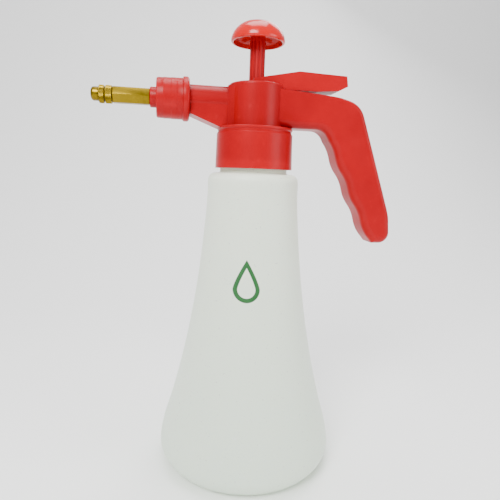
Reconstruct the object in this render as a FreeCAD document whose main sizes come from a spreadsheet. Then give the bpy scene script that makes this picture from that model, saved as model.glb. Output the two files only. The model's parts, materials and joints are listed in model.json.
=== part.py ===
import FreeCAD, Part
import Sketcher
import math
import os

V = FreeCAD.Vector

# A hand pressure sprayer of about one litre. +Z is up, the spout points along -X
# and the handle along +X. The origin is the middle of the bottle's base.
# All lengths are in millimetres, and all "radius" values are radii.

DOC = FreeCAD.newDocument("pump_sprayer")
SHEET = DOC.addObject("Spreadsheet::Sheet", "sizes")

SIZES = {
    # bottle
    "shoulder_height": 195, "belly_radius": 58, "belly_height": 15, "foot_radius": 32,
    "bottle_wall": 1.6, "push_up": 3, "shoulder_round": 5, "shoulder_step": 7.7,
    "neck_height": 21.2, "neck_wall": 1.9, "thread_height": 0.9, "thread_pitch": 5,
    # collar, roof and tower of the head
    "collar_gap": 3, "collar_clearance": 0.4, "collar_wall": 1.9, "gasket_thickness": 2.4,
    "roof_thickness": 4.9, "tower_height": 26.5, "tower_wall": 3, "tower_edge": 1.5,
    # pump
    "pump_bore": 10, "barrel_wall": 1.5, "barrel_length": 80, "shank_step": 1.1,
    "gallery_depth": 1.1, "gallery_height": 4.3, "flange_step": 1.5, "flange_thickness": 1.2,
    "bore_fit": 0.1, "run_fit": 0.06, "gland_depth": 3.7, "gland_thickness": 1.9,
    "bush_length": 9, "ring_width": 1.6, "ring_depth": 0.9, "rod_radius": 4.8,
    "flute_radius": 0.9, "knob_radius": 16.8, "knob_height": 12.6, "knob_wall": 1.7,
    "knob_rise": 51.5, "pump_up": 38, "piston_length": 9,
    "foot_length": 9, "valve_stalk": 1.2,
    # feed tube
    "dip_tube_radius": 3, "dip_tube_wall": 0.9, "dip_gap": 1.1, "neck_gap": 1,
    "socket_depth": 6, "tube_clearance": 9, "filter_length": 16,
    # handle
    "handle_width": 22, "handle_reach": 66, "handle_drop": 72, "handle_top": 24.6,
    "knee_round": 15, "crook_round": 9, "tip_round": 7,
    "side_round": 3, "grip_round": 5, "wave_radius": 26,
    "channel_width": 16.6, "channel_floor": 17,
    # lever
    "lever_width": 15.6, "lever_reach": 57.8, "lever_rise": 26.5, "pivot_offset": 9.5,
    "pivot_height": 25.2, "pin_radius": 1, "lever_hub": 2.2, "fork_gap": 0.9,
    # valve
    "valve_bore": 4.2, "plunger_radius": 1.5, "valve_wall": 3, "valve_floor": 20.7,
    "chamber_depth": 18.7, "seat_thickness": 2.2, "plunger_rise": 2.8, "lever_gap": 0.3,
    "spring_wire": 0.25, "seal_thickness": 1.6,
    # spout and nozzle
    "spout_rise": 15.3, "spout_radius": 9, "spout_length": 56, "spout_bore": 2.5,
    "nut_start": 41.9, "nut_length": 19.9, "nut_wall": 2.1, "nut_clearance": 0.3,
    "nut_flange": 1.2, "nut_flange_width": 3, "nut_web": 3, "seal_gap": 0.9,
    "sleeve_radius": 5.6, "sleeve_length": 3.9, "sleeve_flange": 1.6, "hex_across": 9.3,
    "hex_length": 21.8, "nozzle_bore": 1.5, "spigot_radius": 3.4, "spigot_length": 8,
    "ring_radius": 5.3, "lock_length": 4.1, "knurl_length": 3.4, "tip_gap": 0.4,
    "tip_radius": 4.1, "tip_length": 4.6, "orifice": 0.5, "core_length": 2,
}

for row, (name, size) in enumerate(SIZES.items(), start=1):
    SHEET.set("A%d" % row, name)
    SHEET.set("B%d" % row, str(size))
    SHEET.setAlias("B%d" % row, name)
DOC.recompute()


def spell(text):
    """The expression with each size's name led by the sheet's."""
    words = []
    word = ""
    for letter in text + " ":
        if letter.isalnum() or letter in "_.":
            word += letter
            continue
        words.append("sizes." + word if word in SIZES else word)
        words.append(letter)
        word = ""
    return "".join(words).strip()


def value(text):
    """The number that an expression in the sheet's names comes to."""
    return float(SHEET.evalExpression(spell(str(text))))


def bind(thing, prop, text):
    """Bind a property to an expression in the sheet's names."""
    thing.setExpression(prop, spell(str(text)))


def wrap(text):
    return "(" + text + ")"


# Places that several pieces share, as expressions in the sheet's names.

BARREL = wrap("pump_bore + barrel_wall")
SHANK = wrap(BARREL + " + shank_step")
TOWER_BORE = wrap(SHANK + " + bore_fit")
GALLERY = wrap(TOWER_BORE + " + gallery_depth")
FLANGE = wrap(SHANK + " + flange_step")
GLAND_BORE = wrap(FLANGE + " + 2 * bore_fit")
TOWER = wrap(GLAND_BORE + " + tower_wall")
ROD_HOLE = wrap("rod_radius + run_fit")

DIP_X = wrap(BARREL + " + dip_gap + dip_tube_radius")
NECK_BORE = wrap(DIP_X + " + dip_tube_radius + neck_gap")
NECK = wrap(NECK_BORE + " + neck_wall")
THREAD = wrap(NECK + " + thread_height")
COLLAR_BORE = wrap(THREAD + " + collar_clearance")
COLLAR = wrap(COLLAR_BORE + " + collar_wall")
SHOULDER = wrap(NECK + " + shoulder_step")
VALVE_X = wrap(GLAND_BORE + " + valve_wall + valve_bore")

NECK_TOP = wrap("shoulder_height + neck_height")
ROOF = wrap(NECK_TOP + " + gasket_thickness")
DECK = wrap(ROOF + " + roof_thickness")
COLLAR_FOOT = wrap("collar_gap - neck_height - gasket_thickness - roof_thickness")

# Heights above the deck, which is the top of the collar.
GLAND_TOP = wrap("tower_height - gland_depth")
LEDGE = wrap(GLAND_TOP + " - gland_thickness - flange_thickness")
GALLERY_FOOT = wrap("spout_rise - gallery_height / 2")
GALLERY_TOP = wrap("spout_rise + gallery_height / 2")
BUSH_FOOT = wrap(LEDGE + " + flange_thickness - bush_length")
BARREL_FOOT = wrap(BUSH_FOOT + " - barrel_length")
PISTON_TOP = wrap(BUSH_FOOT + " - pump_up - 1")
KNOB_RIM = wrap("knob_rise")

# Distances along the spout, from the bottle's axis.
SPOUT_THREAD = wrap("spout_radius + 0.6")
NUT_BORE = wrap(SPOUT_THREAD + " + nut_clearance")
NUT_RADIUS = wrap(NUT_BORE + " + nut_wall")
NUT_END = wrap("nut_start + nut_length")
SLEEVE_BACK = wrap("spout_length + seal_gap")
SLEEVE_END = wrap(NUT_END + " + sleeve_length")
SLEEVE_BORE = wrap("spigot_radius + 0.6")
HEX_END = wrap(SLEEVE_END + " + hex_length")
SPIGOT_END = wrap(HEX_END + " + spigot_length")
LOCK_END = wrap(HEX_END + " + 0.2 + lock_length")
TIP_START = wrap(LOCK_END + " + tip_gap")
TIP_END = wrap(TIP_START + " + knurl_length + tip_length")


def new_body(label):
    body = DOC.addObject("PartDesign::Body", label)
    body.Label = label
    return body


def plane(body, role):
    """One of the body's own origin planes."""
    return next(one for one in body.Origin.OriginFeatures if one.Role == role)


def new_sketch(body, name, role="XZ_Plane", lift=None):
    """A sketch on an origin plane, lifted along the plane's normal."""
    sketch = body.newObject("Sketcher::SketchObject", name)
    sketch.AttachmentSupport = [(plane(body, role), "")]
    sketch.MapMode = "FlatFace"
    if lift is not None:
        bind(sketch, ".AttachmentOffset.Base.z", lift)
    return sketch


def pin_down(sketch, kind, item, end, text):
    """Fix one coordinate of a sketch's point by an expression."""
    number = sketch.addConstraint(Sketcher.Constraint(kind, -1, 1, item, end, value(text)))
    bind(sketch, "Constraints[%d]" % number, text)


def arc_between(start, end, radius, side):
    """An arc of the given radius that bows to the left (1) or right (-1) of its chord."""
    chord = end - start
    left = V(-chord.y, chord.x, 0).normalize()
    rise = math.sqrt(max(radius ** 2 - chord.Length ** 2 / 4, 0))
    centre = (start + end) / 2 - left * rise * side
    first, last = (end, start) if side > 0 else (start, end)
    first_angle = math.atan2(first.y - centre.y, first.x - centre.x)
    last_angle = math.atan2(last.y - centre.y, last.x - centre.x)
    circle = Part.Circle(centre, V(0, 0, 1), radius)
    return Part.ArcOfCircle(circle, first_angle, last_angle)


def outline(sketch, points):
    """A closed outline. A point is (x, y), or (x, y, radius, side) if an arc leaves it."""
    spots = [V(value(point[0]), value(point[1]), 0) for point in points]
    heads = []
    tails = []
    for index, point in enumerate(points):
        start = spots[index]
        end = spots[(index + 1) % len(points)]
        if len(point) == 2:
            item = sketch.addGeometry(Part.LineSegment(start, end))
            heads.append((item, 1))
            tails.append((item, 2))
            continue
        item = sketch.addGeometry(arc_between(start, end, value(point[2]), point[3]))
        number = sketch.addConstraint(Sketcher.Constraint("Radius", item, value(point[2])))
        bind(sketch, "Constraints[%d]" % number, point[2])
        heads.append((item, 2 if point[3] > 0 else 1))
        tails.append((item, 1 if point[3] > 0 else 2))
    for index, point in enumerate(points):
        after = heads[(index + 1) % len(points)]
        sketch.addConstraint(Sketcher.Constraint("Coincident", *tails[index], *after))
    for index, point in enumerate(points):
        pin_down(sketch, "DistanceX", *heads[index], point[0])
        pin_down(sketch, "DistanceY", *heads[index], point[1])


def circle(sketch, x, y, radius):
    """A circle with its centre and radius bound to the sheet."""
    item = sketch.addGeometry(Part.Circle(V(value(x), value(y), 0), V(0, 0, 1), value(radius)))
    number = sketch.addConstraint(Sketcher.Constraint("Radius", item, value(radius)))
    bind(sketch, "Constraints[%d]" % number, radius)
    pin_down(sketch, "DistanceX", item, 3, x)
    pin_down(sketch, "DistanceY", item, 3, y)


def revolve(body, name, points, cut=False):
    """A full turn of an outline of (radius, height) points about the body's Z axis."""
    sketch = new_sketch(body, name + "_outline")
    outline(sketch, points)
    kind = "PartDesign::Groove" if cut else "PartDesign::Revolution"
    turn = body.newObject(kind, name)
    turn.Profile = sketch
    turn.ReferenceAxis = (sketch, ["V_Axis"])
    turn.Angle = 360
    return turn


def extrude(body, name, sketch, length, cut=False, both=False, reverse=False):
    """A pad or a pocket of a sketch."""
    kind = "PartDesign::Pocket" if cut else "PartDesign::Pad"
    made = body.newObject(kind, name)
    made.Profile = sketch
    made.Midplane = both
    made.Reversed = reverse
    bind(made, "Length", length)
    return made


def slab(body, name, points, width, cut=False):
    """A side outline of (x, height) points, as wide as given about the middle plane."""
    sketch = new_sketch(body, name + "_outline")
    outline(sketch, points)
    return extrude(body, name, sketch, width, cut=cut, both=True)


def drill(body, name, x, y, foot, top, radius):
    """A round hole along Z from one height to another."""
    sketch = new_sketch(body, name + "_circle", "XY_Plane", foot)
    circle(sketch, x, y, radius)
    return extrude(body, name, sketch, top + " - " + foot, cut=True, reverse=True)


def cross_drill(body, name, height, near, far, radius):
    """A round hole along X at a height, from the nearer x to the farther."""
    sketch = new_sketch(body, name + "_circle", "YZ_Plane", near)
    circle(sketch, "0", height, radius)
    return extrude(body, name, sketch, far + " - " + near, cut=True, reverse=True)


def on_deck(body):
    """Heights in this body count from the deck of the head."""
    bind(body, ".Placement.Base.z", DECK)
    return body


def on_spout(body):
    """Heights in this body count along the spout, away from the bottle's axis."""
    body.Placement = FreeCAD.Placement(V(0, 0, 0), FreeCAD.Rotation(V(0, 1, 0), -90))
    bind(body, ".Placement.Base.z", DECK + " + spout_rise")
    return body


def edges_where(feature, test):
    """The names of a feature's edges whose ends and middle all pass a test."""
    names = []
    for number, edge in enumerate(feature.Shape.Edges, start=1):
        middle = edge.valueAt((edge.FirstParameter + edge.LastParameter) / 2)
        spots = [vertex.Point for vertex in edge.Vertexes] + [middle]
        if all(test(spot) for spot in spots):
            names.append("Edge%d" % number)
    return names


def soften(body, name, feature, test, radius):
    """A fillet on the feature's edges that pass a test."""
    DOC.recompute()
    fillet = body.newObject("PartDesign::Fillet", name)
    fillet.Base = (feature, edges_where(feature, test))
    bind(fillet, "Radius", radius)
    DOC.recompute()
    return fillet


def ring(label, inner, outer, foot, top, place):
    """A plain ring or washer, a revolved rectangle."""
    body = new_body(label)
    revolve(body, label + "_turn", [(inner, foot), (outer, foot), (outer, top), (inner, top)])
    return place(body)


def bottle_line():
    """The smooth outer line of the bottle, from its foot up to the shoulder's bend."""
    belly = value("belly_radius")
    low = value("belly_height")
    foot = value("foot_radius")
    top = value("shoulder_height - shoulder_round")
    waist = value(SHOULDER)
    points = []
    for step in range(5):
        angle = math.radians(-90 + 22.5 * step)
        across = foot + (belly - foot) * math.cos(angle)
        points.append(V(across, 0, low + low * math.sin(angle)))
    swells = ((0.17, 0.74), (0.33, 0.50), (0.5, 0.305), (0.67, 0.155), (0.84, 0.045))
    for share, swell in swells:
        points.append(V(waist + (belly - waist) * swell, 0, low + (top - low) * share))
    points.append(V(waist, 0, top))
    curve = Part.BSplineCurve()
    curve.interpolate(Points=points)
    return curve


def inner_line(curve, wall):
    """A smooth line inside another, a wall's thickness away."""
    points = []
    count = 24
    for step in range(count + 1):
        place = curve.FirstParameter
        place += (curve.LastParameter - curve.FirstParameter) * step / count
        along = curve.tangent(place)[0]
        points.append(curve.value(place) + V(-along.z, 0, along.x) * wall)
    inner = Part.BSplineCurve()
    inner.interpolate(Points=points)
    return inner


def bottle_section():
    """Half section of the bottle's wall, from the middle of the floor to the mouth."""
    wall = value("bottle_wall")
    outer = bottle_line()
    inner = inner_line(outer, wall)
    shoulder = value("shoulder_height")
    bend = value("shoulder_round")
    waist = value(SHOULDER)
    top = value(NECK_TOP)
    foot = value("foot_radius")
    dome = value("push_up")
    slant = math.sqrt(0.5)
    hub = V(waist - bend, 0, shoulder - bend)

    def shoulder_bend(radius):
        start = hub + V(radius, 0, 0)
        middle = hub + V(radius * slant, 0, radius * slant)
        return Part.Arc(start, middle, hub + V(0, 0, radius)).toShape()

    inner_end = inner.value(inner.LastParameter)
    edges = [outer.toShape(), inner.toShape(), shoulder_bend(bend), shoulder_bend(bend - wall)]
    corners = [
        (V(foot, 0, 0), V(foot - 5, 0, 0), V(foot - 9, 0, dome), V(0, 0, dome),
         V(0, 0, dome + wall), V(foot - 9, 0, dome + wall), inner.value(inner.FirstParameter)),
        (hub + V(0, 0, bend), V(value(NECK), 0, shoulder), V(value(NECK), 0, top),
         V(value(NECK_BORE), 0, top), V(value(NECK_BORE), 0, shoulder - wall),
         hub + V(0, 0, bend - wall)),
    ]
    for run in corners:
        for start, end in zip(run, run[1:]):
            edges.append(Part.makeLine(start, end))
    if inner_end.distanceToPoint(hub + V(bend - wall, 0, 0)) > 1e-4:
        edges.append(Part.makeLine(inner_end, hub + V(bend - wall, 0, 0)))
    return Part.Face(Part.Wire(Part.__sortEdges__(edges)))


def make_bottle():
    """Blow-moulded bottle: a turned wall with rings on the neck for the thread."""
    shape = bottle_section().revolve(V(0, 0, 0), V(0, 0, 1), 360)
    pitch = value("thread_pitch")
    for turn in range(2):
        middle = value(NECK_TOP) - pitch * (turn + 1)
        root = V(value(NECK) - 0.5, 0, middle - pitch / 4)
        crest = V(value(THREAD), 0, middle - pitch / 12)
        crest_top = V(value(THREAD), 0, middle + pitch / 12)
        root_top = V(value(NECK) - 0.5, 0, middle + pitch / 4)
        section = Part.Face(Part.makePolygon([root, crest, crest_top, root_top, root]))
        shape = shape.fuse(section.revolve(V(0, 0, 0), V(0, 0, 1), 360))
    bottle = DOC.addObject("Part::Feature", "bottle")
    bottle.Label = "bottle"
    bottle.Shape = shape.removeSplitter()
    return bottle


def handle_outline():
    """Side outline of the pistol handle, with finger waves on its inner line."""
    knee = "handle_reach + 1"
    tip_outer = "handle_reach + 27"
    tip_inner = "handle_reach + 12"
    bottom = wrap("-handle_drop")
    top_inner = "handle_reach - 22"
    head = [
        ("0", "handle_top"),
        ("0", "0.6"),
        (top_inner, "0.6"),
    ]
    waves = 6
    start = (wrap(top_inner + " + 3.6"), "(0.6 - 7)")
    end = (tip_inner, wrap("-handle_drop + 4.5"))
    points = []
    for step in range(waves):
        x = "%s + (%s - %s) * %d / %d" % (start[0], wrap(end[0]), start[0], step, waves)
        y = "%s + (%s - %s) * %d / %d" % (start[1], end[1], start[1], step, waves)
        points.append((x, y, "wave_radius", 1 if step % 2 == 0 else -1))
    tail = [
        end,
        ("handle_reach + 16", bottom),
        (tip_outer + " + 1.5", bottom),
        (tip_outer, wrap("-handle_drop + 16")),
        (knee, "handle_top - 7"),
        (knee + " - 12", "handle_top - 4"),
    ]
    return head + points + tail


def round_handle(body, pad):
    """Rounds the knee, the tip and the long side edges of the handle."""
    half = value("handle_width") / 2
    reach = value("handle_reach")
    drop = value("handle_drop")
    top = value("handle_top")

    def at_knee(spot):
        return abs(spot.x - reach - 1) < 0.1 and abs(spot.z - top + 7) < 0.1

    def at_tip(spot):
        return spot.x > reach + 27.5 and spot.z < 1 - drop

    def at_crook(spot):
        return abs(spot.x - reach + 22) < 0.1 and abs(spot.z - 0.6) < 0.1

    def at_side(spot):
        return abs(abs(spot.y) - half) < 0.01 and spot.x > 1

    def on_back(spot):
        slant = (spot.x - reach - 1) / 26 + (spot.z - top + 7) / (drop + top - 23)
        return at_side(spot) and (slant > -0.15 or spot.z > 1)

    def on_grip(spot):
        return at_side(spot) and not on_back(spot)

    bent = soften(body, "knee_fillet", pad, at_knee, "knee_round")
    bent = soften(body, "tip_fillet", bent, at_tip, "tip_round")
    bent = soften(body, "crook_fillet", bent, at_crook, "crook_round")
    bent = soften(body, "grip_fillet", bent, on_grip, "grip_round")
    return soften(body, "back_fillet", bent, on_back, "side_round")


def make_head():
    """The red moulding: collar, pump tower, spout arm with gusset and pistol handle."""
    body = new_body("sprayer_head")
    pad = slab(body, "handle", handle_outline(), "handle_width")
    round_handle(body, pad)
    revolve(body, "tower", [
        ("0", COLLAR_FOOT),
        (COLLAR, COLLAR_FOOT),
        (COLLAR + " - 0.5", "-4"),
        (COLLAR + " - 1.2", "-3"),
        (COLLAR + " - 1.2", "-2"),
        (COLLAR + " - 0.6", "-1.2"),
        (COLLAR + " - 0.6", "-0.4"),
        (COLLAR + " - 1.1", "0"),
        (TOWER, "0"),
        (TOWER, "tower_height - tower_edge", "tower_edge", -1),
        (TOWER + " - tower_edge", "tower_height"),
        ("0", "tower_height"),
    ])
    slab(body, "front_rib", [
        ("-(" + TOWER + " + 1.4)", "0"),
        ("0", "0"),
        ("0", "tower_height - 2.5"),
        ("-(" + TOWER + " + 1.4)", "tower_height - 2.5"),
    ], "spout_radius * 2")
    sketch = new_sketch(body, "spout_circle", "YZ_Plane")
    circle(sketch, "0", "spout_rise", "spout_radius")
    extrude(body, "spout", sketch, "spout_length", reverse=True)
    sketch = new_sketch(body, "spout_thread_circle", "YZ_Plane", "-spout_length + 0.8")
    circle(sketch, "0", "spout_rise", SPOUT_THREAD)
    extrude(body, "spout_thread", sketch, "spout_length - nut_start - 2")
    slab(body, "gusset", [
        ("-nut_start + 0.5", "spout_rise - spout_radius * 0.3"),
        ("-nut_start + 0.5", "spout_rise - spout_radius - 0.2"),
        ("-(" + COLLAR + " - 1)", "-0.8"),
        ("0", "-0.8"),
        ("0", "spout_rise - spout_radius * 0.3"),
    ], "spout_radius * 1.9")
    slab(body, "top_gusset", [
        ("-(" + TOWER + " + 5)", "spout_rise + spout_radius - 1"),
        ("0", "spout_rise + spout_radius - 1"),
        ("0", "tower_height - 3"),
        ("-(" + TOWER + " + 1)", "tower_height - 3"),
    ], "spout_radius")
    revolve(body, "cavity", [
        ("0", COLLAR_FOOT + " - 1"),
        (COLLAR_BORE, COLLAR_FOOT + " - 1"),
        (COLLAR_BORE, "-roof_thickness"),
        (TOWER_BORE, "-roof_thickness"),
        (TOWER_BORE, GALLERY_FOOT),
        (GALLERY, GALLERY_FOOT),
        (GALLERY, GALLERY_TOP),
        (TOWER_BORE, GALLERY_TOP),
        (TOWER_BORE, LEDGE),
        (GLAND_BORE, LEDGE),
        (GLAND_BORE, "tower_height + 1"),
        ("0", "tower_height + 1"),
    ], cut=True)
    slab(body, "channel", [
        ("pivot_offset - lever_hub - 3", GLAND_TOP + " + 0.1"),
        (GLAND_BORE + " - 0.5", GLAND_TOP + " + 0.1"),
        (GLAND_BORE + " - 0.5", "valve_floor"),
        (VALVE_X + " + valve_bore + 1", "valve_floor"),
        (VALVE_X + " + valve_bore + 1", "channel_floor"),
        ("lever_reach - 2", "channel_floor"),
        ("lever_reach + 1.5", "channel_floor + 3"),
        ("lever_reach + 1.5", "tower_height + 9"),
        ("pivot_offset - lever_hub - 3", "tower_height + 9"),
    ], "channel_width", cut=True)
    floor = "(valve_floor - chamber_depth)"
    drill(body, "valve_hole", VALVE_X, "0", floor, "(valve_floor + 1)", "valve_bore")
    drill(body, "dip_socket", DIP_X, "0", "(-roof_thickness - 1)",
          "(socket_depth - roof_thickness)", "dip_tube_radius + 0.02")
    drill(body, "riser", DIP_X, "0", "(socket_depth - roof_thickness - 1)",
          "(socket_depth - roof_thickness + 3.4)", "dip_tube_radius - dip_tube_wall")
    cross_drill(body, "feed_hole", "socket_depth - roof_thickness + 2", DIP_X, VALVE_X, "1.4")
    cross_drill(body, "valve_outlet", "spout_rise", "(" + TOWER_BORE + " + 0.3)", VALVE_X, "1.2")
    cross_drill(body, "spout_hole", "spout_rise", "(-spout_length - 1)",
                "(0 - " + TOWER_BORE + " - 0.2)", "spout_bore")
    sketch = new_sketch(body, "pin_circle", "XZ_Plane", "-" + TOWER)
    circle(sketch, "pivot_offset", "pivot_height", "pin_radius + 0.01")
    extrude(body, "pin_hole", sketch, TOWER + " * 2 - 5", cut=True, reverse=True)
    return on_deck(body)


def make_barrel():
    """The pump's tube: flange on the ledge, thick shank with ring grooves, thin skirt."""
    body = new_body("pump_barrel")
    groove_top = GALLERY_TOP + " + 0.6"
    low_groove = wrap(GALLERY_FOOT + " - 2.5")
    deep = SHANK + " - ring_depth"
    revolve(body, "barrel_turn", [
        ("pump_bore", BARREL_FOOT),
        (BARREL, BARREL_FOOT),
        (BARREL, "3"),
        (SHANK, "4.5"),
        (SHANK, low_groove + " - ring_width"),
        (deep, low_groove + " - ring_width"),
        (deep, low_groove),
        (SHANK, low_groove),
        (SHANK, groove_top),
        (deep, groove_top),
        (deep, groove_top + " + ring_width"),
        (SHANK, groove_top + " + ring_width"),
        (SHANK, LEDGE),
        (FLANGE, LEDGE),
        (FLANGE, LEDGE + " + flange_thickness"),
        ("pump_bore", LEDGE + " + flange_thickness"),
    ])
    return on_deck(body)


def make_barrel_rings():
    """The two rubber rings round the barrel's shank, one either side of the gallery."""
    low = wrap(GALLERY_FOOT + " - 2.5 - ring_width")
    high = wrap(GALLERY_TOP + " + 0.6")
    rings = []
    for number, foot in enumerate((low, high)):
        outer = DOC.addObject("Part::Cylinder", "barrel_ring_outer%d" % number)
        inner = DOC.addObject("Part::Cylinder", "barrel_ring_inner%d" % number)
        bind(outer, "Radius", TOWER_BORE)
        bind(inner, "Radius", SHANK + " - ring_depth")
        for piece in (outer, inner):
            bind(piece, "Height", "ring_width")
            bind(piece, ".Placement.Base.z", DECK + " + " + foot)
        cut = DOC.addObject("Part::Cut", "barrel_ring%d" % number)
        cut.Base = outer
        cut.Tool = inner
        rings.append(cut)
    pair = DOC.addObject("Part::Compound", "barrel_o_rings")
    pair.Links = rings
    pair.Label = "barrel_o_rings"
    return pair


def make_rod_guide():
    """Gland cap in the tower: a flat top with two key holes and a bush for the rod."""
    body = new_body("rod_guide")
    seat = LEDGE + " + flange_thickness"
    revolve(body, "guide_turn", [
        (ROD_HOLE, BUSH_FOOT),
        ("pump_bore - 0.15", BUSH_FOOT),
        ("pump_bore - 0.15", seat),
        (GLAND_BORE + " - bore_fit / 2", seat),
        (GLAND_BORE + " - bore_fit / 2", GLAND_TOP),
        (ROD_HOLE, GLAND_TOP),
    ])
    for side in ("-", ""):
        name = "key_hole_left" if side else "key_hole_right"
        place = side + "(pump_bore + 1)"
        drill(body, name, "0", place, "(" + GLAND_TOP + " - 1.2)", "(" + GLAND_TOP + " + 1)", "1.2")
    return on_deck(body)


def make_rod():
    """The pump's rod, with shallow flutes above and a seat for the piston below."""
    body = new_body("pump_rod")
    foot = wrap(PISTON_TOP + " - piston_length")
    revolve(body, "rod_turn", [
        ("0", foot),
        ("rod_radius - 2", foot),
        ("rod_radius - 2", PISTON_TOP),
        ("rod_radius", PISTON_TOP),
        ("rod_radius", KNOB_RIM + " + knob_height - knob_wall - 2"),
        ("0", KNOB_RIM + " + knob_height - knob_wall - 2"),
    ])
    sketch = new_sketch(body, "flute_circle", "XY_Plane", PISTON_TOP + " + 3")
    circle(sketch, "rod_radius + flute_radius * 0.6", "0", "flute_radius")
    length = KNOB_RIM + " - " + PISTON_TOP + " - 3"
    flute = extrude(body, "flute", sketch, length, cut=True, reverse=True)
    pattern = body.newObject("PartDesign::PolarPattern", "flutes")
    pattern.Originals = [flute]
    pattern.Axis = (sketch, ["N_Axis"])
    pattern.Angle = 360
    pattern.Occurrences = 12
    body.Tip = pattern
    return on_deck(body)


def make_knob():
    """Hollow domed knob with a socket for the rod's head."""
    body = new_body("pump_knob")
    rim = KNOB_RIM
    top = wrap(KNOB_RIM + " + knob_height")
    under = wrap(top + " - knob_wall")
    seat = wrap(under + " - 2")
    revolve(body, "knob_turn", [
        ("0", seat),
        ("rod_radius + 0.02", seat),
        ("rod_radius + 0.02", seat + " - 3"),
        ("rod_radius + 1.4", seat + " - 3"),
        ("rod_radius + 1.4", under + " - 0.3"),
        ("knob_radius * 0.5", under + " - 0.6", "knob_radius * 0.9 - knob_wall", 1),
        ("knob_radius - knob_wall", rim),
        ("knob_radius", rim, "knob_radius * 0.9", -1),
        ("knob_radius * 0.5", top + " - 0.9", "knob_radius * 2", -1),
        ("knob_radius * 0.1", top),
        ("0", top),
    ])
    return on_deck(body)


def make_piston():
    """Piston on the rod's foot, with a groove for its rubber ring."""
    body = new_body("piston")
    foot = wrap(PISTON_TOP + " - piston_length")
    wide = wrap("pump_bore - run_fit")
    deep = wrap(wide + " - ring_depth")
    middle = wrap(PISTON_TOP + " - piston_length / 2")
    revolve(body, "piston_turn", [
        ("rod_radius - 2", foot),
        (wide, foot),
        (wide, middle + " - ring_width / 2"),
        (deep, middle + " - ring_width / 2"),
        (deep, middle + " + ring_width / 2"),
        (wide, middle + " + ring_width / 2"),
        (wide, PISTON_TOP),
        ("rod_radius - 2", PISTON_TOP),
    ])
    return on_deck(body)


def make_barrel_foot():
    """End cap inside the barrel's foot, with air holes round the valve's stalk."""
    body = new_body("barrel_foot")
    revolve(body, "foot_turn", [
        ("valve_stalk", BARREL_FOOT + " - 2"),
        (BARREL, BARREL_FOOT + " - 2"),
        (BARREL, BARREL_FOOT),
        ("pump_bore", BARREL_FOOT),
        ("pump_bore", BARREL_FOOT + " + foot_length"),
        ("pump_bore - 1.4", BARREL_FOOT + " + foot_length"),
        ("pump_bore - 1.4", BARREL_FOOT),
        ("valve_stalk", BARREL_FOOT),
    ])
    sketch = new_sketch(body, "air_hole_circle", "XY_Plane", BARREL_FOOT + " - 3")
    circle(sketch, "pump_bore * 0.42", "0", "1")
    hole = extrude(body, "air_hole", sketch, "4", cut=True, reverse=True)
    pattern = body.newObject("PartDesign::PolarPattern", "air_holes")
    pattern.Originals = [hole]
    pattern.Axis = (sketch, ["N_Axis"])
    pattern.Angle = 360
    pattern.Occurrences = 6
    body.Tip = pattern
    return on_deck(body)


def make_check_valve():
    """Rubber mushroom under the barrel's foot: it lets air out and nothing back."""
    body = new_body("check_valve")
    seat = wrap(BARREL_FOOT + " - 2")
    revolve(body, "mushroom_turn", [
        ("0", seat + " - 2"),
        ("2.5", seat + " - 2"),
        ("pump_bore * 0.75", seat + " - 0.6"),
        ("pump_bore * 0.75", seat),
        ("valve_stalk", seat),
        ("valve_stalk", BARREL_FOOT),
        ("valve_stalk + 0.9", BARREL_FOOT),
        ("0.5", BARREL_FOOT + " + 3"),
        ("0", BARREL_FOOT + " + 3"),
    ])
    return on_deck(body)


def make_valve_pin():
    """Plunger: a domed head under the lever, a stem, and a flange that backs the seal."""
    body = new_body("valve_pin")
    seal_foot = wrap("valve_floor - chamber_depth + 5.5")
    seal_top = wrap(seal_foot + " + seal_thickness")
    head = wrap("valve_floor + plunger_rise")
    revolve(body, "plunger_turn", [
        ("0", seal_foot + " - 3.5"),
        ("plunger_radius", seal_foot + " - 3.5"),
        ("plunger_radius", seal_foot + " - 1"),
        ("valve_bore - 0.5", seal_foot + " - 1"),
        ("valve_bore - 0.5", seal_foot),
        ("plunger_radius - 0.4", seal_foot),
        ("plunger_radius - 0.4", seal_top),
        ("plunger_radius", seal_top + " + 0.2"),
        ("plunger_radius", head + " - 1", "plunger_radius * 0.8", -1),
        ("plunger_radius - 1", head),
        ("0", head),
    ])
    bind(body, ".Placement.Base.x", VALVE_X)
    return on_deck(body)


def valve_ring(label, inner, outer, foot, top):
    """A ring round the valve's axis."""
    body = ring(label, inner, outer, foot, top, on_deck)
    bind(body, ".Placement.Base.x", VALVE_X)
    return body


def make_valve_rings():
    """The seal on the plunger, the seat it closes on, the stem's ring and the cap."""
    seal_foot = wrap("valve_floor - chamber_depth + 5.5")
    seal_top = wrap(seal_foot + " + seal_thickness")
    seat_top = wrap(seal_top + " + seat_thickness")
    cap_foot = wrap("valve_floor - 2.6")
    ring_foot = wrap(cap_foot + " - 1.4")
    valve_ring("valve_seal", "plunger_radius - 0.4", "valve_bore - 0.7", seal_foot, seal_top)
    valve_ring("valve_seat", "plunger_radius + 0.7", "valve_bore", seal_top, seat_top)
    valve_ring("valve_o_ring", "plunger_radius + 0.02", "valve_bore", ring_foot, cap_foot)
    valve_ring("valve_cap", "plunger_radius + run_fit", "valve_bore", cap_foot, "valve_floor")


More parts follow.
